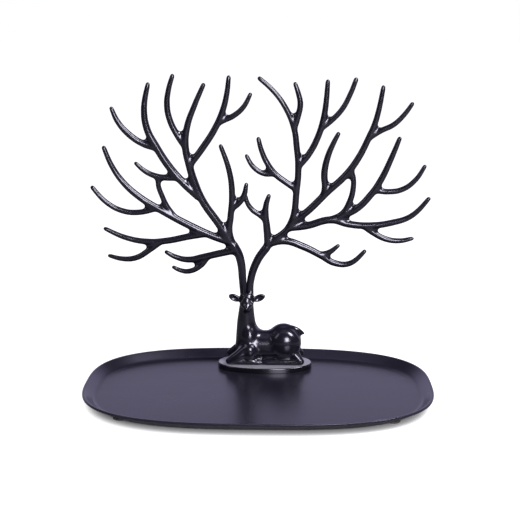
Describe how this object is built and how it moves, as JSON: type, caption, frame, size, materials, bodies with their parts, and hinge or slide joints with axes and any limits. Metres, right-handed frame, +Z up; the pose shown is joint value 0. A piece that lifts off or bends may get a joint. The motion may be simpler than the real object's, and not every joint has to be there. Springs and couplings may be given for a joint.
{
  "type": "jewelry tree",
  "caption": "Jewelry tree: a resting deer on an oval dish, with tall plug-in branching antlers to hang necklaces and rings on.",
  "frame": {"origin": "on the table under the middle of the dish", "axes": "+X to the right across the dish and the antlers, -Y towards the viewer that the deer faces, +Z up"},
  "size_m": [0.2511, 0.156, 0.2255],
  "materials": {
    "tray_plastic": "satin black moulded plastic",
    "plinth_plastic": "glossy edge, fine matte grain on top",
    "deer_plastic": "glossy black moulded plastic",
    "antler_plastic": "glossy black moulded plastic",
    "pad_rubber": "matte",
    "screw_steel": "zinc plated"
  },
  "bodies": {
    "stand": {"tray": "tray_plastic", "foot_pads": "pad_rubber", "plinth": "plinth_plastic", "deer_front_shell": "deer_plastic", "deer_rear_shell": "deer_plastic", "base_screws": "screw_steel"},
    "left_antler": {"antler_left": "antler_plastic"},
    "right_antler": {"antler_right": "antler_plastic"}
  },
  "joints": [
    {"name": "antler_left_lift", "type": "slide", "parent": "stand", "child": "left_antler", "axis": [0, 0, 1], "range_m": [0, 0.016]},
    {"name": "antler_right_lift", "type": "slide", "parent": "stand", "child": "right_antler", "axis": [0, 0, 1], "range_m": [0, 0.016]}
  ]
}
